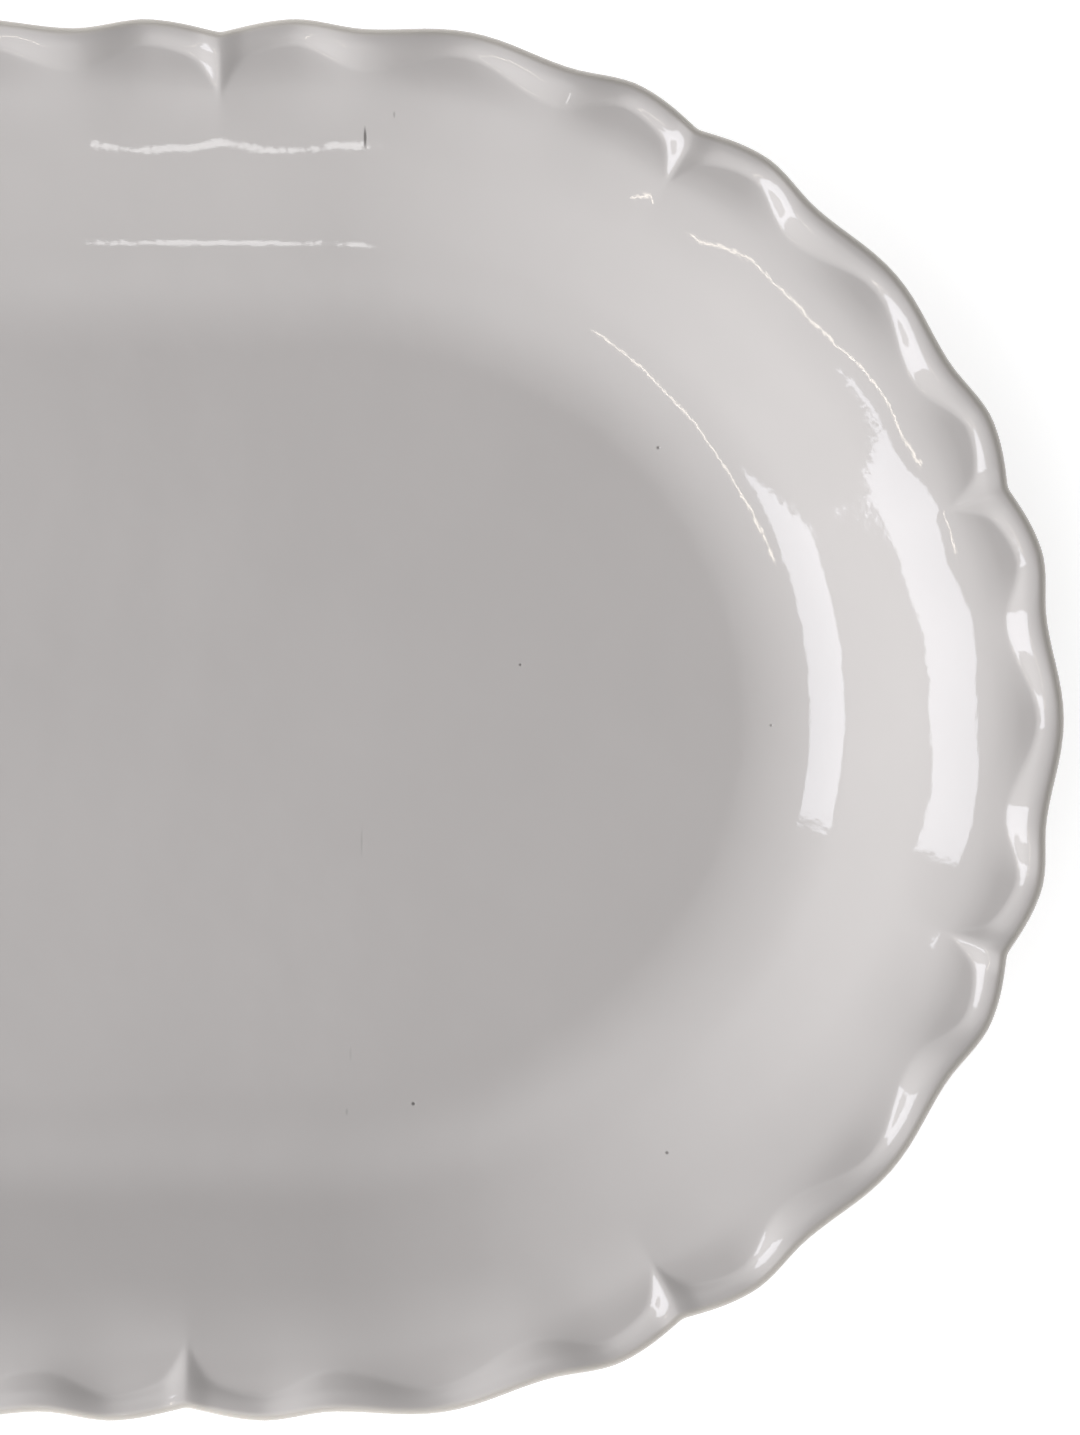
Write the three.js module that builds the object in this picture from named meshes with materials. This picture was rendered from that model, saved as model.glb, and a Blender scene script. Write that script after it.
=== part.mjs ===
// Oval serving platter: a pressed clay dish with a scalloped rim, a clay strip luted under it as a foot,
// and the white glaze poured over the face and the back. The foot is wiped dry and stays bare.
// Millimetres, +Z up, X along the length. The origin is on the table, under the middle of the foot.
import * as THREE from "three";

// Plan, measured over the glazed rim from crown to crown of its lobes
const platterLength = 400;
const platterWidth = 257;
const straightSide = 130; // straight stretch of each long side, between the rounded ends

// Scalloped edge: bays between pinched notches, each with a wide middle lobe and two side lobes
const bayCount = 12;
const sideLobeShare = 0.294; // part of a bay from its notch to the soft dip beside it
const notchDepth = 2.5; // how far the edge is drawn in at a notch
const notchSharpness = 1.7; // 1 is a plain V, more is rounder lobes and a finer crease
const dipDepth = 1.9; // how far the edge is drawn in at a soft dip
const lobeDrift = 6.5; // the notches were set by eye, and wander this far along one long side
const lobeFade = 26; // the scallops die out this far in from the edge

// Walls
const bodyThickness = 5; // fired clay of the floor and the wall
const glazeThickness = 0.5;
const fusedLayer = 0.1; // where glaze and clay melted into one another, part of neither piece

// Section of the face, from the flat floor out to the rim
const floorInset = 60; // edge of the flat floor, in from the rim's edge
const coveRadius = 40;
const wallAngle = THREE.MathUtils.degToRad(33);
const shoulderRadius = 55;
const rimAngle = THREE.MathUtils.degToRad(17); // straight rim outside the shoulder

// Hollows: each lobe of the rim is pressed about level by a thumb. At a notch the rim stays as a ridge.
const pressInset = 14; // where a hollow begins, in from the edge
const pressRun = 6; // how far it takes to reach its slope
const pressSlope = 0.27; // how fast it deepens then, nearly as fast as the rim climbs
const pressAtDip = 0.25; // part of the press that a soft dip still gets
const ridgeSlope = 0.4; // flanks of the ridge
const ridgeRounding = 0.8; // radius of its crest, roughly

// Lip: a bead that stands up out of the hollows, with a rounded edge
const lipHalfWidth = 1.7; // from the outer edge to the crest
const lipThickness = 5.4;
const beadSlope = 0.3; // added to the rim's slope on the bead's inner side
const beadAtDip = 0.77; // part of that slope that is left at a soft dip
const beadRun = 1.4; // how far that slope takes to set in
const crestRun = 3; // how far it takes to level out at the crest
const crownReach = 5.4; // foot of that side, in from the edge, at the crown of a lobe
const dipReach = 8.6; // the same at a soft dip
const notchReach = 8; // the same at a notch
const rimMargin = 3.4; // straight rim between the longest bead and the shoulder

// Foot strip
const footHeight = 4.5;
const footWidth = 9; // at its seat on the clay
const footTaper = 1.3; // each side leans in by this much towards the table
const footChamfer = 0.8;
const footSetback = 3; // in from the edge of the flat floor, along the straight sides
const dryMargin = 0.4; // glaze wiped back from the foot

// Fineness of the mesh
const coveSteps = 4;
const shoulderSteps = 3;
const rimSteps = 2;
const lipSteps = 5;
const noseSteps = 4;
const sideLobeSteps = [0, 0.2, 0.5, 0.75]; // closer together by the crease
const middleLobeSteps = 4;

const { sin, cos, tan, asin, PI } = Math;
const { lerp, clamp } = THREE.MathUtils;
const blend = (share) => THREE.MathUtils.smoothstep(share, 0, 1);

// A distance that gets under way slowly: half its square over the run, and then one for one.
function eased(distance, run) {
  if (distance <= 0) return 0;
  return distance < run ? distance ** 2 / (2 * run) : distance - run / 2;
}

// The smaller of two depths, rounded over where they meet: their product over a high norm of the two.
const meetingPower = 8;
function lesser(a, b) {
  if (a === 0 || b === 0) return 0;
  return (a * b) / (a ** meetingPower + b ** meetingPower) ** (1 / meetingPower);
}

// Sizes that follow from the ones above
const halfStraight = straightSide / 2;
const halfWidth = platterWidth / 2;
const endReach = platterLength / 2 - halfStraight; // rounded end, from its centre to the tip
const endRadius = Math.hypot(endReach, halfWidth) / Math.SQRT2;
const quarterRim = halfStraight + (PI / 2) * endRadius; // rim from the middle of a side to a tip
const bayLength = (4 * quarterRim) / bayCount;
const rimInset = Math.max(notchReach, dipReach, crownReach) + rimMargin; // outer end of the shoulder
const coat = glazeThickness + fusedLayer; // from the clay to the glazed surface
const glazedThickness = bodyThickness + 2 * coat;
const floorTop = bodyThickness + coat; // glazed floor above the clay's underside
const footRadius = halfWidth - floorInset - footSetback; // outer side of the foot's seat, round each end
const footInnerRadius = footRadius - footWidth;

// A point of an oval with the platter's straight sides, at the distance `along` the rim, clockwise from
// the middle of the +Y side. Its ends are halves of ellipses, `reach` long and `half` to each side.
function ovalPoint(along, reach, half) {
  const quarter = Math.floor(along / quarterRim) % 4;
  const rest = along % quarterRim;
  const fromSide = quarter % 2 === 0 ? rest : quarterRim - rest;
  const turn = Math.max(0, fromSide - halfStraight) / endRadius;
  const x = Math.min(fromSide, halfStraight) + reach * sin(turn);
  const y = half * cos(turn);
  return new THREE.Vector2(quarter < 2 ? x : -x, quarter === 0 || quarter === 3 ? y : -y);
}

// How strongly the edge is drawn in at a share of its bay, at the notch and at a soft dip, and how far
// the ridge still holds.
function pull(share) {
  const fromNotch = Math.min(share, 1 - share);
  const crown = sideLobeShare / 2;
  const fromRidge = Math.hypot(fromNotch * bayLength, ridgeRounding) - ridgeRounding;
  const nearNotch = Math.max(0, 1 - fromRidge / (crown * bayLength));
  const fromDip = Math.abs(fromNotch - sideLobeShare);
  const lobeHalf = fromNotch < sideLobeShare ? sideLobeShare - crown : 0.5 - sideLobeShare;
  return {
    notch: nearNotch ** notchSharpness,
    dip: fromDip < lobeHalf ? (1 + cos((PI * fromDip) / lobeHalf)) / 2 : 0,
    ridge: nearNotch ** 2,
    fromRidge,
  };
}

// Columns: the places along the rim where the section is drawn, bay by bay.
function rimColumns() {
  const near = sideLobeSteps.map((step) => step * sideLobeShare);
  const between = Array.from({ length: middleLobeSteps }, (_, k) =>
    lerp(sideLobeShare, 1 - sideLobeShare, k / middleLobeSteps));
  const far = [sideLobeShare, ...near.slice(1).toReversed()].map((share) => 1 - share);
  const columns = [];
  for (let bay = 0; bay < bayCount; bay++) {
    for (const share of [...near, ...between, ...far]) {
      const regular = (bay + share + 0.5) * bayLength;
      const alongFarSide = clamp((regular - quarterRim) / (2 * quarterRim), 0, 1);
      const along = regular + lobeDrift * sin(PI * alongFarSide) ** 2;
      columns.push({ along: along % (4 * quarterRim), ...pull(share) });
    }
  }
  return columns;
}

// The shoulder is an arc that flattens out from the wall to the rim, which climbs straight on.
const wallFoot = {
  inset: floorInset - coveRadius * sin(wallAngle),
  z: floorTop + coveRadius * (1 - cos(wallAngle)),
};
const wallTopInset = rimInset + shoulderRadius * (sin(wallAngle) - sin(rimAngle));
const wallTopZ = wallFoot.z + (wallFoot.inset - wallTopInset) * tan(wallAngle);
const shoulderAngle = (inset) => asin(sin(wallAngle) - (wallTopInset - inset) / shoulderRadius);
const shoulderZ = (angle) => wallTopZ + shoulderRadius * (cos(angle) - cos(wallAngle));
const rimZ = (inset) => shoulderZ(rimAngle) + (rimInset - inset) * tan(rimAngle);

// The face from the floor's edge to the rim as { inset, z, angle }, with the clay's underside at z = 0:
// a cove, a straight slope and the shoulder.
function faceProfile() {
  const profile = [];
  for (let k = 0; k <= coveSteps; k++) {
    const angle = (wallAngle * k) / coveSteps;
    profile.push({
      inset: floorInset - coveRadius * sin(angle),
      z: floorTop + coveRadius * (1 - cos(angle)),
      angle,
    });
  }
  for (let k = 0; k <= shoulderSteps; k++) {
    const inset = lerp(wallTopInset, rimInset, k / shoulderSteps);
    const angle = shoulderAngle(inset);
    profile.push({ inset, z: shoulderZ(angle), angle });
  }
  return profile;
}

const columns = rimColumns();
const face = faceProfile();

// The face's height at one column, with its hollow pressed in, its bead left standing and the crest
// rounded off to level.
function shaped({ inset, z }, reach, column) {
  const pastFoot = eased(reach - inset, beadRun);
  const depth = Math.max(0, eased(pressInset - inset, pressRun) - pastFoot) * pressSlope;
  const pressed = lesser(ridgeSlope * column.fromRidge, depth * lerp(1, pressAtDip, column.dip));
  const beadRise = beadSlope * (1 - column.ridge) * lerp(1, beadAtDip, column.dip);
  const rounded = (tan(rimAngle) + beadRise) * eased(lipHalfWidth + crestRun - inset, crestRun);
  return { inset, z: z - pressed + beadRise * pastFoot - rounded };
}

// Stations of the whole glazed section at one column, from the floor's edge over the lip to the back.
function sectionAt(column) {
  const reach = crownReach + (notchReach - crownReach) * column.ridge + (dipReach - crownReach) * column.dip;
  const rim = [];
  for (let k = 1; k < rimSteps; k++) {
    const inset = lerp(rimInset, reach, k / rimSteps);
    rim.push({ inset, z: rimZ(inset) });
  }
  for (let k = 0; k <= lipSteps; k++) {
    const inset = lerp(reach, lipHalfWidth, k / lipSteps);
    rim.push({ inset, z: rimZ(inset) });
  }
  const top = [...face, ...rim].map((station) => shaped(station, reach, column));
  const crest = top.at(-1).z;
  const nose = [];
  for (let k = 1; k <= noseSteps; k++) {
    const angle = (PI * k) / noseSteps;
    nose.push({
      inset: lipHalfWidth * (1 - sin(angle)),
      z: crest - (lipThickness / 2) * (1 - cos(angle)),
    });
  }
  const back = face.toReversed().map(({ inset, z, angle }) => ({
    inset: inset - glazedThickness * sin(angle),
    z: z - glazedThickness * cos(angle),
  }));
  return [...top, ...nose, ...back];
}

const faceCount = face.length;
const crestStation = faceCount + rimSteps - 1 + lipSteps;
const pourLine = crestStation + noseSteps / 2; // outermost line of the lip, where the two pours of glaze meet
const lastStation = crestStation + noseSteps + faceCount;

// The glazed skin, station by station, as rings of points round the platter.
function glazedSkin() {
  const sections = columns.map(sectionAt);
  return Array.from({ length: lastStation + 1 }, (_, station) =>
    columns.map((column, c) => {
      const { inset, z } = sections[c][station];
      const drawnIn = notchDepth * column.notch + dipDepth * column.dip;
      const inside = inset + drawnIn * (1 - blend(inset / lobeFade));
      const point = ovalPoint(column.along, endReach - inside, halfWidth - inside);
      return new THREE.Vector3(point.x, point.y, z);
    }));
}

// The same skin moved in by a depth, square to the surface. The floor stays level on both sides.
function skinBelow(skin, depth) {
  return skin.map((ring, station) =>
    ring.map((point, c) => {
      if (station === 0) return point.clone().setZ(point.z - depth);
      if (station === lastStation) return point.clone().setZ(point.z + depth);
      const along = ring[(c + 1) % ring.length].clone().sub(ring.at(c - 1));
      const across = skin[station + 1][c].clone().sub(skin[station - 1][c]);
      return point.clone().addScaledVector(along.cross(across).normalize(), -depth);
    }));
}

// Away from the rim's lobes every second column is enough.
const isFine = (station) => station >= faceCount - 1 && station <= crestStation + noseSteps + 1;
const thinned = (ring) => ring.filter((_, c) => c % 2 === 0);
const ringsOf = (skin) => skin.map((ring, station) => (isFine(station) ? ring : thinned(ring)));

// A level ring with the platter's straight sides and round ends, and a single point at its middle.
const levelRing = (radius, z) =>
  thinned(columns).map(({ along }) => {
    const point = ovalPoint(along, radius, radius);
    return new THREE.Vector3(point.x, point.y, z);
  });
const middle = (z) => [new THREE.Vector3(0, 0, z)];

// Triangles between two rings of corner numbers. The rings have the same count, or one is a point,
// or one has twice as many corners as the other. A four-sided face is split along its shorter diagonal.
function bandTriangles(a, b, corners) {
  const triangles = [];
  const fewer = Math.min(a.length, b.length);
  const count = fewer === 1 ? Math.max(a.length, b.length) : fewer;
  for (let k = 0; k < count; k++) {
    const next = (k + 1) % count;
    if (a.length === 1) triangles.push(a[0], b[next], b[k]);
    else if (b.length === 1) triangles.push(b[0], a[k], a[next]);
    else if (a.length === b.length) {
      const one = corners[a[k]].distanceTo(corners[b[next]]);
      const other = corners[a[next]].distanceTo(corners[b[k]]);
      if (one <= other) triangles.push(a[k], a[next], b[next], a[k], b[next], b[k]);
      else triangles.push(a[k], a[next], b[k], a[next], b[next], b[k]);
    } else if (a.length > b.length) {
      const [first, mid, last] = [a[2 * k], a[2 * k + 1], a[(2 * k + 2) % a.length]];
      triangles.push(first, mid, b[k], mid, b[next], b[k], mid, last, b[next]);
    } else {
      const [first, mid, last] = [b[2 * k], b[2 * k + 1], b[(2 * k + 2) % b.length]];
      triangles.push(mid, first, a[k], a[next], mid, a[k], last, mid, a[next]);
    }
  }
  return triangles;
}

// A closed solid through a list of rings. Rings that don't start and end at a point join up in a loop.
function loft(rings) {
  const corners = rings.flat();
  let used = 0;
  const numbers = rings.map((ring) => ring.map(() => used++));
  const closesItself = rings[0].length > 1;
  const triangles = numbers.flatMap((ring, k) => {
    if (k + 1 < numbers.length) return bandTriangles(ring, numbers[k + 1], corners);
    return closesItself ? bandTriangles(ring, numbers[0], corners) : [];
  });
  const geometry = new THREE.BufferGeometry().setFromPoints(corners);
  geometry.setIndex(triangles);
  geometry.computeVertexNormals();
  return geometry;
}

function piece(name, rings, material) {
  const mesh = new THREE.Mesh(loft(rings), material);
  mesh.name = name;
  return mesh;
}

const biscuit = new THREE.MeshStandardMaterial({ color: 0xd8cbb8, roughness: 0.85, metalness: 0 });
const whiteGlaze = new THREE.MeshStandardMaterial({ color: 0xd2cecb, roughness: 0.1, metalness: 0 });

const outerSkin = glazedSkin();
const glazed = ringsOf(outerSkin);
const glazeInside = ringsOf(skinBelow(outerSkin, glazeThickness));
const clay = ringsOf(skinBelow(outerSkin, coat));

// Clay dish: one pressing, with floor, wall and pinched rim
const clayBody = piece("clay_body", [middle(bodyThickness), ...clay, middle(0)], biscuit);

// Glaze on the face, from the middle of the floor over the crest to the outermost line of the lip
const faceGlaze = piece(
  "face_glaze",
  [
    middle(floorTop),
    ...glazed.slice(0, pourLine + 1),
    ...glazeInside.slice(0, pourLine + 1).reverse(),
    middle(floorTop - glazeThickness),
  ],
  whiteGlaze,
);

// Glaze on the back, from the outermost line of the lip to just short of the foot
const backStop = footRadius + dryMargin;
const backGlaze = piece(
  "back_glaze",
  [
    ...glazed.slice(pourLine),
    levelRing(backStop, -coat),
    levelRing(backStop, -fusedLayer),
    ...glazeInside.slice(pourLine).reverse(),
  ],
  whiteGlaze,
);

// Glaze on the underside, inside the foot
const wellStop = footInnerRadius - dryMargin;
const footWellGlaze = piece(
  "foot_well_glaze",
  [middle(-fusedLayer), levelRing(wellStop, -fusedLayer), levelRing(wellStop, -coat), middle(-coat)],
  whiteGlaze,
);

// Foot strip, bent round two half circles and luted to the flat underside of the dish. It tapers to a
// narrower bare face on the table.
function footRings() {
  const outerToe = footRadius - footTaper;
  const innerToe = footInnerRadius + footTaper;
  return [
    levelRing(footInnerRadius, footHeight),
    levelRing(footRadius, footHeight),
    levelRing(outerToe, footChamfer),
    levelRing(outerToe - footChamfer, 0),
    levelRing(innerToe + footChamfer, 0),
    levelRing(innerToe, footChamfer),
  ];
}
const footRing = piece("foot_ring", footRings(), biscuit);

const dish = new THREE.Group();
dish.position.z = footHeight;
dish.add(clayBody, faceGlaze, backGlaze, footWellGlaze);

const platter = new THREE.Group();
platter.add(footRing, dish);

export default platter;
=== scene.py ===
import bpy
import numpy as np
from mathutils import Matrix, Vector


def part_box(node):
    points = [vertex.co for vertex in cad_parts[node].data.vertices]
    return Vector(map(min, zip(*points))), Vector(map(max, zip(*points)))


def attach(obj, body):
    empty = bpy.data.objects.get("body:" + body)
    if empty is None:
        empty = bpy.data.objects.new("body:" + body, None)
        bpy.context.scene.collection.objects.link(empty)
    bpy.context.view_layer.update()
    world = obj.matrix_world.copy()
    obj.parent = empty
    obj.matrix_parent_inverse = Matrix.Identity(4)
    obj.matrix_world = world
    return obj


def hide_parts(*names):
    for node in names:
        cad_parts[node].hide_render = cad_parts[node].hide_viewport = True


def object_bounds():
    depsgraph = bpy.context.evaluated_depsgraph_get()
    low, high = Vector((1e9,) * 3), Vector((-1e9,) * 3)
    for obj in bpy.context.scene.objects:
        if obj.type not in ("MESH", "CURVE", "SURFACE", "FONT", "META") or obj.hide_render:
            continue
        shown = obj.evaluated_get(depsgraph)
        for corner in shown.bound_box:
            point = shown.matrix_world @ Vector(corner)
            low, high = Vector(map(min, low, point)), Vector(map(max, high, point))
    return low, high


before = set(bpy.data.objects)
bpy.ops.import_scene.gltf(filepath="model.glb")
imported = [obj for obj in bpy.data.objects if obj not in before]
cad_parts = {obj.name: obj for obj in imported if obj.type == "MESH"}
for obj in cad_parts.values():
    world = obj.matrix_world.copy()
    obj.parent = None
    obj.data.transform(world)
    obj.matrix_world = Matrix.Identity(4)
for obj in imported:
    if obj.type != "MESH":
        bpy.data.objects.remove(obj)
cad_low, cad_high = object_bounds()

# The dish: one slab of pale stoneware clay, pressed over an oval mould. Its rim is trimmed and pinched
# into twelve bays by hand, each with a wide lobe between two small ones. It is fired bare, and carries
# the foot and the glaze.
MM = 0.001  # the platter's sizes are written in millimetres, and its meshes are in metres
half_length = cad_high.x / MM
half_width = cad_high.y / MM
foot_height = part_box("foot_ring")[1].z / MM
half_straight = 65.0  # half of the straight stretch of a long side
end_reach = half_length - half_straight
end_radius = np.hypot(end_reach, half_width) / np.sqrt(2)
quarter_rim = half_straight + np.pi / 2 * end_radius

bay_count = 12
bay_length = 4 * quarter_rim / bay_count
columns_per_bay = 56
crowding = 0.7  # how much closer together the columns stand at a notch
side_lobe_share = 0.294  # part of a bay from its notch to the soft dip beside it
notch_depth, notch_sharpness = 2.5, 1.7
dip_depth = 1.9
lobe_drift = 6.5  # the notches were set by eye, and wander this far along one long side
lobe_fade = 26.0

body_thickness = 5.0
glaze_thickness = 0.5
fused_layer = 0.1  # where glaze and clay melted into one another
coat = glaze_thickness + fused_layer
glazed_thickness = body_thickness + 2 * coat
floor_top = body_thickness + coat

floor_inset = 60.0
cove_radius = 40.0
wall_angle = np.radians(33)
shoulder_radius = 55.0
rim_angle = np.radians(17)
rim_inset = 12.0  # where the shoulder has flattened out into a straight rim
press_slope = 0.27  # a hollow sinks nearly as fast as the rim climbs, so each lobe is pressed about level
press_inset, press_run = 14.0, 6.0  # where a hollow begins, and how far it takes to reach its slope
press_at_dip = 0.25  # part of the press that a soft dip still gets
ridge_slope, ridge_rounding = 0.40, 0.8  # flanks of the ridge that stays at a notch, and its round crest
lip_half_width = 1.7  # from the outer edge to the crest
lip_thickness = 5.4
bead_slope, bead_run = 0.3, 1.4  # added to the rim's slope where the edge stands up out of a hollow
bead_at_dip = 0.77  # part of that slope that is left at a soft dip
crest_run = 3.0  # how far it takes to level out at the crest
crown_reach, dip_reach, notch_reach = 5.4, 8.6, 8.0  # foot of that bead, in from the edge

wall_foot_inset = floor_inset - cove_radius * np.sin(wall_angle)
wall_foot_height = floor_top + cove_radius * (1 - np.cos(wall_angle))
wall_top_inset = rim_inset + shoulder_radius * (np.sin(wall_angle) - np.sin(rim_angle))
wall_top_height = wall_foot_height + (wall_foot_inset - wall_top_inset) * np.tan(wall_angle)
rim_foot_height = wall_top_height + shoulder_radius * (np.cos(rim_angle) - np.cos(wall_angle))


def smooth(share):
    """Goes from 0 to 1 with level ends: three squares of the share less two cubes."""
    share = np.clip(share, 0, 1)
    return share * share * (3 - 2 * share)


def eased(distance, run):
    """A distance that gets under way slowly: half its square over the run, and then one for one."""
    distance = np.maximum(distance, 0)
    return np.where(distance < run, distance ** 2 / (2 * run), distance - run / 2)


def lesser(a, b):
    """The smaller of two depths, rounded over where they meet: their product over a high norm of the two."""
    power = 8
    tiny = 1e-12  # so that two depths of nought give nought
    return a * b / (a ** power + b ** power + tiny) ** (1 / power)


def oval(along, reach, half):
    """Points of an oval, by the distance along the rim, clockwise from the middle of the +Y side.

    A quarter is a straight stretch, then a quarter of an ellipse that is `reach` long and `half` wide.
    The other three quarters are its mirror images.
    """
    quarter = np.floor(along / quarter_rim).astype(int) % 4
    rest = np.mod(along, quarter_rim)
    from_side = np.where(quarter % 2 == 0, rest, quarter_rim - rest)
    turn = np.maximum(0, from_side - half_straight) / end_radius
    x = np.minimum(from_side, half_straight) + reach * np.sin(turn)
    y = half * np.cos(turn)
    return np.where(quarter < 2, x, -x), np.where((quarter == 0) | (quarter == 3), y, -y)


def face_angle(inset):
    """Slope of the face at a distance in from the edge: its sine grows evenly over the cove, stays at the
    wall's, falls evenly over the shoulder and stays at the rim's."""
    over_cove = (floor_inset - inset) / cove_radius
    over_shoulder = np.sin(wall_angle) - (wall_top_inset - np.maximum(inset, rim_inset)) / shoulder_radius
    return np.arcsin(np.clip(np.minimum(over_cove, over_shoulder), 0, np.sin(wall_angle)))


def face_height(inset):
    """Height of the face over the clay's underside: an arc up from the floor, a straight wall, an arc that
    flattens out, and a straight rim."""
    angle = face_angle(inset)
    cove = floor_top + cove_radius * (1 - np.cos(angle))
    wall = wall_foot_height + (wall_foot_inset - inset) * np.tan(wall_angle)
    shoulder = wall_top_height + shoulder_radius * (np.cos(angle) - np.cos(wall_angle))
    rim = rim_foot_height + (rim_inset - inset) * np.tan(rim_angle)
    outer = np.where(inset > rim_inset, shoulder, rim)
    return np.where(inset > wall_foot_inset, cove, np.where(inset > wall_top_inset, wall, outer))


def unevenness(x, y):
    """How far the pressed face rises and falls: the mean of a few long sine waves that cross each other."""
    waves = [(96, 20, 0.3), (71, 75, 2.0), (58, 130, 4.4), (47, 165, 1.1), (83, 100, 5.2)]
    total = 0
    for wavelength, direction, phase in waves:
        along = x * np.cos(np.radians(direction)) + y * np.sin(np.radians(direction))
        total = total + np.sin(2 * np.pi * along / wavelength + phase)
    return total / len(waves)


# Columns of the rim, and how strongly each one is drawn in
bay, step = np.divmod(np.arange(bay_count * columns_per_bay), columns_per_bay)
even_share = step / columns_per_bay
share = even_share - crowding * np.sin(2 * np.pi * even_share) / (2 * np.pi)
regular = (bay + share + 0.5) * bay_length
along_far_side = np.clip((regular - quarter_rim) / (2 * quarter_rim), 0, 1)
along_rim = np.mod(regular + lobe_drift * np.sin(np.pi * along_far_side) ** 2, 4 * quarter_rim)
from_notch = np.minimum(share, 1 - share)
ridge_distance = np.hypot(from_notch * bay_length, ridge_rounding) - ridge_rounding
near_notch = np.maximum(0, 1 - ridge_distance / (bay_length * side_lobe_share / 2))
lobe_half = np.where(from_notch < side_lobe_share, side_lobe_share / 2, 0.5 - side_lobe_share)
from_dip = np.minimum(np.abs(from_notch - side_lobe_share) / lobe_half, 1)
dip = (1 + np.cos(np.pi * from_dip)) / 2
notch = near_notch ** notch_sharpness
ridge = near_notch ** 2

# Stations of the glazed section, from the floor's edge over the lip to the back, for every column at once
cove_stations, wall_stations, shoulder_stations = 16, 7, 12
rim_stations, lip_stations, nose_stations = 14, 20, 25
under_stations = 11  # from the lip to the back, under the rim
level = np.ones_like(along_rim)
wall_insets = np.concatenate([
    floor_inset - cove_radius * np.sin(np.linspace(0, wall_angle, cove_stations)),
    np.linspace(wall_foot_inset, wall_top_inset, wall_stations)[1:-1],
    np.linspace(wall_top_inset, rim_inset, shoulder_stations),
])
reach = crown_reach + (notch_reach - crown_reach) * ridge + (dip_reach - crown_reach) * dip
rim_insets = rim_inset + (reach - rim_inset) * np.linspace(0, 1, rim_stations)[1:-1, None]
lip_insets = reach + (lip_half_width - reach) * np.linspace(0, 1, lip_stations)[:, None]
face_insets = np.vstack([wall_insets[:, None] * level, rim_insets, lip_insets])
past_foot = eased(reach - face_insets, bead_run)
hollow_depth = press_slope * (eased(press_inset - face_insets, press_run) - past_foot)
pressed = lesser(ridge_slope * ridge_distance, np.maximum(hollow_depth, 0) * (1 - (1 - press_at_dip) * dip))
bead_rise = bead_slope * (1 - ridge) * (1 - (1 - bead_at_dip) * dip)
crest_slope = np.tan(rim_angle) + bead_rise
crest_round = crest_slope * eased(lip_half_width + crest_run - face_insets, crest_run)
face_heights = face_height(face_insets) - pressed + bead_rise * past_foot - crest_round

crest = face_heights[-1]
nose_turn = np.linspace(0, np.pi, nose_stations)[1:, None]
nose_insets = lip_half_width * (1 - np.sin(nose_turn)) * level
nose_heights = crest - lip_thickness / 2 * (1 - np.cos(nose_turn))

back_angles = face_angle(wall_insets[::-1])
back_insets = wall_insets[::-1] - glazed_thickness * np.sin(back_angles)
back_heights = face_height(wall_insets[::-1]) - glazed_thickness * np.cos(back_angles)
under_share = np.linspace(0, 1, under_stations)[1:-1, None]
under_run = back_insets[0] - lip_half_width
under_insets = lip_half_width + under_run * under_share * level
under_start = nose_heights[-1]
under_heights = (
    under_start + (back_heights[0] - under_start) * smooth(under_share)
    - under_run * np.tan(back_angles[0]) * (under_share ** 3 - under_share ** 2)
)

section_insets = np.vstack([face_insets, nose_insets, under_insets, back_insets[:, None] * level])
section_heights = np.vstack([face_heights, nose_heights, under_heights, back_heights[:, None] * level])
drawn_in = (notch_depth * notch + dip_depth * dip) * (1 - smooth(section_insets / lobe_fade))
inside = section_insets + drawn_in
ring_x, ring_y = oval(along_rim * np.ones_like(inside), end_reach - inside, half_width - inside)

# The floor inside the section: rings of the same oval, shrunk towards the middle
floor_stations = 14
floor_share = np.linspace(0, 1, floor_stations)[1:-1, None]
skin_x = np.vstack([floor_share * ring_x[0], ring_x])
skin_y = np.vstack([floor_share * ring_y[0], ring_y])
skin_z = np.vstack([floor_top * np.ones_like(floor_share) * level, section_heights])
face_stations = len(floor_share) + len(face_insets)
wave_height, wave_run = 0.13, 10.0  # height of the waves, and how far in from the crest they reach it
skin_insets = np.vstack([floor_inset * np.ones_like(floor_share) * level, section_insets])
wave_fade = smooth((skin_insets - lip_half_width) / wave_run)
wave_fade[face_stations:] = 0
skin_z += wave_height * wave_fade * unevenness(skin_x, skin_y)
skin = np.stack([skin_x, skin_y, skin_z + foot_height], axis=-1)
middle_height = foot_height + floor_top + wave_height * unevenness(0, 0)
pour_line = face_stations + len(nose_turn) // 2 - 1  # outermost line of the lip


def skin_below(depth):
    """The glazed skin moved in by a depth along its normals, which are the cross products of its steps round
    the rim and across it. The last ring stays level."""
    round_rim = np.roll(skin, -1, axis=1) - np.roll(skin, 1, axis=1)
    normals = np.cross(round_rim, np.gradient(skin, axis=0))
    normals /= np.linalg.norm(normals, axis=-1, keepdims=True)
    normals[-1] = (0, 0, -1)
    return skin - depth * normals


def pole(height):
    """A ring that is one point, over the middle of the platter."""
    return np.array([[0, 0, height]])


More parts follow.
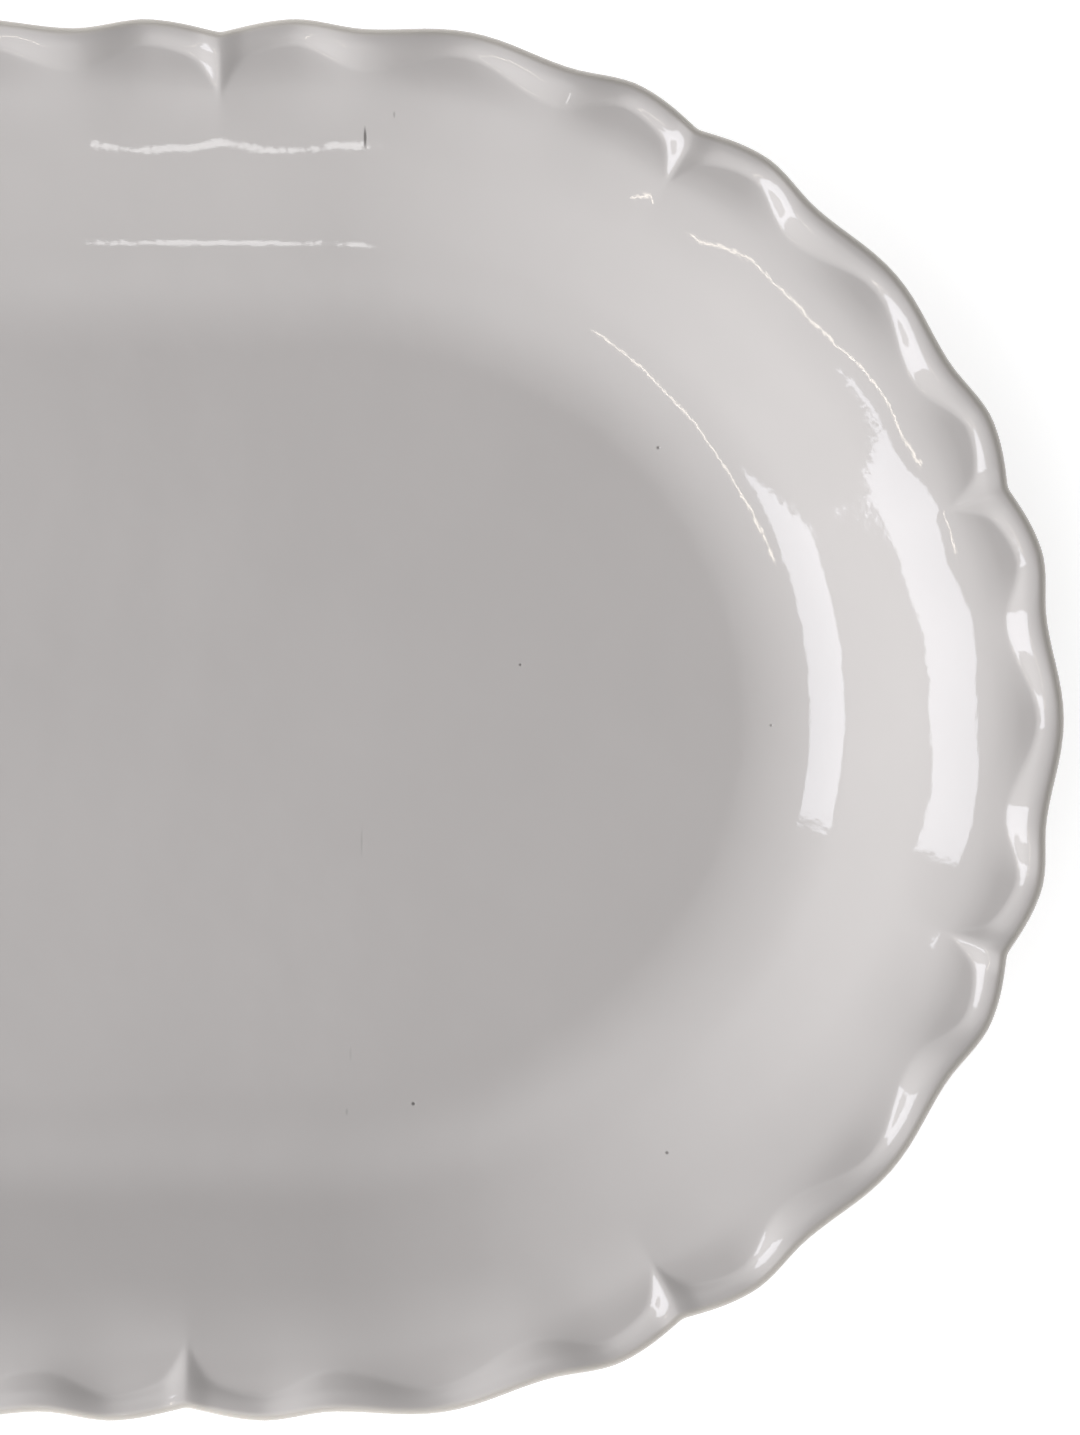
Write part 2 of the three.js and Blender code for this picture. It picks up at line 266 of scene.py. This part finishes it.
def put_piece(name, rings, material, thinness=None):
    """Joins rings of points by bands of faces into one closed mesh: four-sided faces between two rings, and
    a fan of triangles at a pole. Without poles the last ring joins the first. Each point of a glaze carries
    how thin it ran there."""
    starts = np.cumsum([0] + [len(ring) for ring in rings])
    numbers = [np.arange(start, end) for start, end in zip(starts[:-1], starts[1:])]
    following = numbers[1:] + ([numbers[0]] if len(rings[0]) > 1 else [])
    faces = []
    for a, b in zip(numbers, following):
        if len(a) == 1:
            band = [np.broadcast_to(a, b.shape), np.roll(b, -1), b]
        elif len(b) == 1:
            band = [np.broadcast_to(b, a.shape), a, np.roll(a, -1)]
        else:
            band = [a, np.roll(a, -1), np.roll(b, -1), b]
        faces.extend(np.stack(band, axis=1).tolist())
    mesh = bpy.data.meshes.new(name)
    mesh.from_pydata((np.concatenate(rings) * MM).tolist(), [], faces)
    crease_angle = np.radians(50)
    mesh.shade_smooth()
    mesh.set_sharp_from_angle(angle=crease_angle)
    mesh.materials.append(material)
    if thinness is not None:
        mesh.attributes.new("thinness", "FLOAT", "POINT").data.foreach_set("value", np.concatenate(thinness))
    piece = bpy.data.objects.new(name, mesh)
    bpy.context.scene.collection.objects.link(piece)
    return piece


def linear(hex_colour):
    """Linear colour of an sRGB hex value: in proportion for the darkest tones, a power of 2.4 above them."""
    srgb = np.array([int(hex_colour[k:k + 2], 16) for k in (1, 3, 5)]) / 255
    light = np.where(srgb <= 0.04045, srgb / 12.92, ((srgb + 0.055) / 1.055) ** 2.4)
    return (*light.tolist(), 1)


def add(tree, kind, inputs, **settings):
    """Adds a node with its settings, and links or sets its inputs."""
    node = tree.nodes.new("ShaderNode" + kind)
    for name, value in settings.items():
        setattr(node, name, value)
    for name, value in inputs.items():
        if isinstance(value, bpy.types.NodeSocket):
            tree.links.new(value, node.inputs[name])
        else:
            node.inputs[name].default_value = value
    return node


def new_material(name):
    """A node material with an empty tree, and that tree."""
    material = bpy.data.materials.new(name)
    material.use_nodes = True
    material.node_tree.nodes.clear()
    return material, material.node_tree


# Biscuit stoneware, fired bare: dull, slightly pitted, with pale and tan grains about 1 mm across.
grain_width, patch_width = 1.0, 22.0
pit_depth = 0.12
biscuit, tree = new_material("biscuit_stoneware")
place = add(tree, "TexCoord", {}).outputs["Object"]
grain = add(tree, "TexNoise", {"Vector": place, "Scale": 1 / (grain_width * MM), "Detail": 3.0})
patch = add(tree, "TexNoise", {"Vector": place, "Scale": 1 / (patch_width * MM), "Detail": 2.0})
tone = add(tree, "Mix", {"Factor": grain.outputs["Fac"], "A": linear("#CDBEA8"), "B": linear("#E2D7C6")},
           data_type="RGBA")
fired = add(tree, "Mix",
            {"Factor": patch.outputs["Fac"], "A": tone.outputs["Result"], "B": linear("#D2C2AB")},
            data_type="RGBA")
pits = add(tree, "Bump", {"Height": grain.outputs["Fac"], "Distance": pit_depth * MM})
bare_clay = add(tree, "BsdfPrincipled", {
    "Base Color": fired.outputs["Result"],
    "Roughness": 0.85,
    "Normal": pits.outputs["Normal"],
})
add(tree, "OutputMaterial", {"Surface": bare_clay.outputs["BSDF"]})

clay = skin_below(coat)
clay_rings = [pole(middle_height - coat), *clay, pole(foot_height)]
clay_body = put_piece("clay_body_fine", clay_rings, biscuit)
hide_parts("clay_body")
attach(clay_body, "root")

# The foot: a strip of the same clay, bent round two half circles and luted to the flat underside with
# slip. It is wiped free of glaze, and its lower corners are rounded off with a wet sponge.
foot_width = 9.0
foot_taper = 1.3
corner_radius = 0.8
foot_setback = 3.0
foot_radius = half_width - floor_inset - foot_setback
foot_inner_radius = foot_radius - foot_width


def level_ring(radius, height):
    """A level ring with the platter's straight sides and half circles of this radius for ends."""
    x, y = oval(along_rim, radius, radius)
    return np.stack([x, y, np.full_like(x, height)], axis=-1)


corner_stations = 7
corner = np.linspace(0, np.pi / 2, corner_stations)
outer_toe = foot_radius - foot_taper - corner_radius * (1 - np.cos(corner))
inner_toe = foot_inner_radius + foot_taper + corner_radius * (1 - np.cos(corner))
toe_height = corner_radius * (1 - np.sin(corner))
foot_rings = [
    level_ring(foot_inner_radius, foot_height),
    level_ring(foot_radius, foot_height),
    *map(level_ring, outer_toe, toe_height),
    *map(level_ring, inner_toe[::-1], toe_height[::-1]),
]
foot_ring = put_piece("foot_ring_fine", foot_rings, biscuit)
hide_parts("foot_ring")
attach(foot_ring, "root")

# The glaze on the face: an off-white, glossy glaze poured over the biscuit and fired. It is half a
# millimetre thick, from the middle of the floor over the crest to the outermost line of the lip.

# Glossy glaze: a smooth glass over clay, with cloudy tone and fine, faint ripples. It ran thin over the edge
# of the lip, where the paler, warmer clay shows through. The face has a few pinholes and drag marks.
cloud_width = 40.0
ripple_width, ripple_height = 12.0, 0.1
mark_depth = 0.1
mark_core = 0.2  # part of a mark's reach that is marked in full
least_upright = 0.5  # only the face has normals that rise more than this, so the back has no marks
white_glaze, tree = new_material("glossy_white_glaze")
place = add(tree, "TexCoord", {}).outputs["Object"]
cloud = add(tree, "TexNoise", {"Vector": place, "Scale": 1 / (cloud_width * MM), "Detail": 3.0})
tone = add(tree, "Mix", {"Factor": cloud.outputs["Fac"], "A": linear("#B8B4B2"), "B": linear("#BFBBB9")},
           data_type="RGBA")
thin = add(tree, "Attribute", {}, attribute_name="thinness")
edged = add(tree, "Mix", {"Factor": thin.outputs["Fac"], "A": tone.outputs["Result"], "B": linear("#C4BDB2")},
            data_type="RGBA")
marks = 0.0
for x, y, half_across, half_along, strength in [
    (71.9, 107.0, 0.4, 2.4, 0.8), (77.3, 111.0, 0.3, 0.8, 0.3), (80.4, -71.5, 0.5, 0.5, 0.8),
    (127.4, -79.8, 0.45, 0.45, 0.7), (100.3, 10.3, 0.4, 0.4, 0.7), (126.0, 50.7, 0.45, 0.45, 0.7),
    (147.0, -1.0, 0.4, 0.4, 0.5), (70.8, -22.7, 0.3, 3.6, 0.12), (68.7, -62.2, 0.3, 1.8, 0.1),
    (68.0, -73.0, 0.35, 0.9, 0.2),
]:
    middle = (x * MM, y * MM, 0)
    offset = add(tree, "VectorMath", {0: place, 1: middle}, operation="SUBTRACT").outputs["Vector"]
    shares = (1 / (half_across * MM), 1 / (half_along * MM), 0)
    spread = add(tree, "VectorMath", {0: offset, 1: shares}, operation="MULTIPLY").outputs["Vector"]
    away = add(tree, "VectorMath", {0: spread}, operation="LENGTH").outputs["Value"]
    mark = add(tree, "MapRange", {"Value": away, "From Min": 1.0, "From Max": mark_core, "To Max": strength},
               interpolation_type="SMOOTHSTEP").outputs["Result"]
    marks = add(tree, "Math", {0: mark, 1: marks}, operation="MAXIMUM").outputs["Value"]
upright = add(tree, "SeparateXYZ", {"Vector": add(tree, "NewGeometry", {}).outputs["Normal"]}).outputs["Z"]
on_face = add(tree, "Math", {0: upright, 1: least_upright}, operation="GREATER_THAN").outputs["Value"]
flaws = add(tree, "Math", {0: marks, 1: on_face}, operation="MULTIPLY").outputs["Value"]
flawed = add(tree, "Mix", {"Factor": flaws, "A": edged.outputs["Result"], "B": linear("#4A4743")},
             data_type="RGBA")
ripple = add(tree, "TexNoise", {"Vector": place, "Scale": 1 / (ripple_width * MM), "Detail": 4.0})
ripples = add(tree, "Bump", {"Height": ripple.outputs["Fac"], "Distance": ripple_height * MM})
pits = add(tree, "Bump", {"Height": flaws, "Distance": mark_depth * MM, "Normal": ripples.outputs["Normal"]},
           invert=True)
glass = add(tree, "BsdfPrincipled", {
    "Base Color": flawed.outputs["Result"],
    "Roughness": 0.05,
    "IOR": 1.55,
    "Normal": pits.outputs["Normal"],
})
add(tree, "OutputMaterial", {"Surface": glass.outputs["BSDF"]})

thin_run = 2.0  # the glaze is thinner this far from the lip's outermost line
thinning = 1 - smooth(skin_insets / thin_run)
full_coat = np.zeros(1)  # at the poles the glaze isn't thinned
glaze_inside = skin_below(glaze_thickness)
face_rings = [
    pole(middle_height),
    *skin[:pour_line + 1],
    *glaze_inside[pour_line::-2],
    pole(middle_height - glaze_thickness),
]
face_thinness = [full_coat, *thinning[:pour_line + 1], *thinning[pour_line::-2], full_coat]
face_glaze = put_piece("face_glaze_fine", face_rings, white_glaze, face_thinness)
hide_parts("face_glaze")
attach(face_glaze, "root")

# The glaze on the back: the second pour, from the outermost line of the lip down to the foot, where it
# was wiped back a little and ends in a rounded edge.
dry_margin = 0.4
roll_stations = 9
glaze_roll = np.linspace(0, np.pi, roll_stations)
roll_reach = glaze_thickness / 2 * np.sin(glaze_roll)
roll_height = foot_height - fused_layer - glaze_thickness / 2 * (1 + np.cos(glaze_roll))
back_stop = foot_radius + dry_margin + glaze_thickness / 2
back_rings = [
    *skin[pour_line:],
    *map(level_ring, back_stop - roll_reach, roll_height),
    *glaze_inside[:pour_line - 1:-1],
]
roll_thinness = np.zeros((len(glaze_roll), len(along_rim)))
back_thinness = [*thinning[pour_line:], *roll_thinness, *thinning[:pour_line - 1:-1]]
back_glaze = put_piece("back_glaze_fine", back_rings, white_glaze, back_thinness)
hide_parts("back_glaze")
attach(back_glaze, "root")

# The glaze inside the foot: a pool of the same glaze, poured on the flat underside. It was wiped back from
# the foot as the back was, and ends in the same rounded edge.
well_stop = foot_inner_radius - dry_margin - glaze_thickness / 2
well_rings = [
    pole(foot_height - fused_layer),
    *map(level_ring, well_stop + roll_reach[::-1], roll_height[::-1]),
    pole(foot_height - coat),
]
foot_well_glaze = put_piece("foot_well_glaze_fine", well_rings, white_glaze)
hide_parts("foot_well_glaze")
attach(foot_well_glaze, "root")

# The floor: a matte white table top, far wider than the picture. To the camera and in reflections it glows
# just enough to be white, and it keeps the platter's shadow. From below it is clear, so the foot shows.
floor_half = 5.0  # in metres, as the places of the lamps and the camera are
floor_corners = floor_half * np.array([(-1, -1, 0), (1, -1, 0), (1, 1, 0), (-1, 1, 0)])
floor_mesh = bpy.data.meshes.new("table_top")
floor_mesh.from_pydata(floor_corners.tolist(), [], [(0, 1, 2, 3)])
glow_always = 0.12
glow_seen = 0.57  # added where the table is seen, itself or in a reflection
table, tree = new_material("matte_white_table")
paths = add(tree, "LightPath", {}).outputs
mirrored = add(tree, "Math", {0: paths["Is Glossy Ray"], 1: paths["Is Transmission Ray"]},
               operation="MAXIMUM")
seen = add(tree, "Math", {0: paths["Is Camera Ray"], 1: mirrored.outputs["Value"]}, operation="MAXIMUM")
glow = add(tree, "Math", {0: seen.outputs["Value"], 1: glow_seen, 2: glow_always}, operation="MULTIPLY_ADD")
lit = add(tree, "BsdfDiffuse", {"Color": linear("#E6E6E6")})
shine = add(tree, "Emission", {"Strength": glow.outputs["Value"]})
upper_side = add(tree, "AddShader", {0: lit.outputs["BSDF"], 1: shine.outputs["Emission"]}).outputs["Shader"]
from_below = add(tree, "NewGeometry", {}).outputs["Backfacing"]
under_side = add(tree, "BsdfTransparent", {}).outputs["BSDF"]
both_sides = add(tree, "MixShader", {0: from_below, 1: upper_side, 2: under_side}).outputs["Shader"]
add(tree, "OutputMaterial", {"Surface": both_sides})
floor_mesh.materials.append(table)
floor = bpy.data.objects.new("table_top", floor_mesh)
bpy.context.scene.collection.objects.link(floor)

# The light: a pale room, brightest low down on the left, with a window there whose near end is slanted. A
# tube lamp hangs past the near left corner, a bulb further off, and the ceiling is pale on both sides.


def lamp(name, place, facing, size, radiance, colour, along=None, shape="RECTANGLE"):
    """A flat lamp, unseen by the camera itself, with its first side along a direction, or else level.

    Its power is its brightness to the eye times its area times pi.
    """
    area = size[0] * size[1] * (np.pi / 4 if shape == "ELLIPSE" else 1)
    light = bpy.data.lights.new(name, "AREA")
    light.color = linear(colour)[:3]
    light.shape = shape
    light.size, light.size_y = size
    light.energy = radiance * area * np.pi
    back = -Vector(facing).normalized()
    side = (Vector(along) if along else Vector((0, 0, 1)).cross(back)).normalized()
    lamp_object = bpy.data.objects.new(name, light)
    turned = Matrix((side, back.cross(side).normalized(), back)).transposed()
    lamp_object.matrix_world = Matrix.Translation(place) @ turned.to_4x4()
    lamp_object.visible_camera = False
    bpy.context.scene.collection.objects.link(lamp_object)


from_left = (0.990, -0.139, 0)
nearer = Vector((-0.139, -0.990, 0))  # along the window, towards its near end
window_width, window_height = 0.852, 0.756
window_middle = Vector((-1.0927, -0.1479, 1.158))
window_radiance, window_colour = 4.6, "#F4F6FF"
lamp("window", window_middle, from_left, (window_width, window_height), window_radiance, window_colour)
strip_count = 6  # upright strips make up the slanted end, each one shorter than the last
strip_width = 0.045
for k in range(strip_count):
    past_edge = nearer * (window_width / 2 + strip_width * (k + 0.5))
    cut_away = window_height * (k + 0.5) / strip_count
    strip_middle = window_middle + past_edge + Vector((0, 0, cut_away / 2))
    strip_size = (strip_width, window_height - cut_away)
    lamp(f"window_slant_{k}", strip_middle, from_left, strip_size, window_radiance, window_colour)
lamp("tube_lamp", place=(-0.5615, -0.5835, 1.1), facing=(0.73, 0.115, -1.07), size=(0.64, 0.016),
     radiance=11, colour="#FFF4E2", along=(0.099, -0.631, 0))
lamp("far_bulb", place=(-0.077, -1.8, 1.31), facing=(0.1, 1.8, -1.3), size=(0.085, 0.12),
     radiance=5, colour="#FFFFFF", shape="ELLIPSE")

world = bpy.data.worlds.new("pale_room")
world.use_nodes = True
tree = world.node_tree
tree.nodes.clear()
outward = add(tree, "TexCoord", {}).outputs["Generated"]
# Each glow of the room fades with the cosine of the angle from its direction, to the power of its narrowness.
brightness = 0.03  # where none of the glows reaches
for direction, narrowness, strength in [
    ((-0.966, -0.259, -0.035), 0.6, 1.6),
    ((-0.866, 0.5, 0.05), 8, 1.4),
    ((-0.966, -0.259, 0.05), 8, 0.6),
    ((-0.5, -0.866, 0.05), 8, 1.0),
    ((0.259, -0.966, 0.05), 8, 0.6),
    ((1, 0.2, 0.05), 4, 0.9),
    ((-0.19, 0.53, 0.83), 20, 0.75),
    ((-0.19, -0.53, 0.83), 20, 0.75),
]:
    towards = Vector(direction).normalized()
    facing = add(tree, "VectorMath", {0: outward, 1: towards}, operation="DOT_PRODUCT").outputs["Value"]
    ahead = add(tree, "Math", {0: facing, 1: 0.0}, operation="MAXIMUM").outputs["Value"]
    soft = add(tree, "Math", {0: ahead, 1: narrowness}, operation="POWER").outputs["Value"]
    brightness = add(tree, "Math", {0: soft, 1: strength, 2: brightness},
                     operation="MULTIPLY_ADD").outputs["Value"]
# Low down the glaze mirrors a pale wall all round, and to the camera itself the room is white.
wall_tone = 0.7
wall_end, wall_full = 0.4, 0.1  # sines of the angles above the table where it ends and where it is complete
height = add(tree, "SeparateXYZ", {"Vector": outward}).outputs["Z"]
low_down = add(tree, "MapRange", {"Value": height, "From Min": wall_end, "From Max": wall_full},
               interpolation_type="SMOOTHSTEP").outputs["Result"]
paths = add(tree, "LightPath", {}).outputs
wall_share = add(tree, "Math", {0: low_down, 1: paths["Is Glossy Ray"]},
                 operation="MULTIPLY").outputs["Value"]
mirrored = add(tree, "Mix", {"Factor": wall_share, "A": brightness, "B": wall_tone}).outputs["Result"]
shown = add(tree, "Math", {0: mirrored, 1: paths["Is Camera Ray"]}, operation="MAXIMUM").outputs["Value"]
room = add(tree, "Background", {"Color": linear("#FFFFFF"), "Strength": shown})
add(tree, "OutputWorld", {"Surface": room.outputs["Background"]})
bpy.context.scene.world = world

# The camera: straight over the right half of the platter, looking down. The height of its picture is set in
# the plane of the lip's outer line.
view_distance = 1.2
view_field = 0.2631
lip_line_height = 0.0295
view_centre = (0.10395, 0.00044)
camera_data = bpy.data.cameras.new("camera")
camera_data.sensor_width = 36.0
camera_data.lens = camera_data.sensor_width * view_distance / view_field
camera = bpy.data.objects.new("camera", camera_data)
camera.location = (*view_centre, lip_line_height + view_distance)
bpy.context.scene.collection.objects.link(camera)
bpy.context.scene.camera = camera
bpy.context.scene.view_settings.view_transform = "Standard"
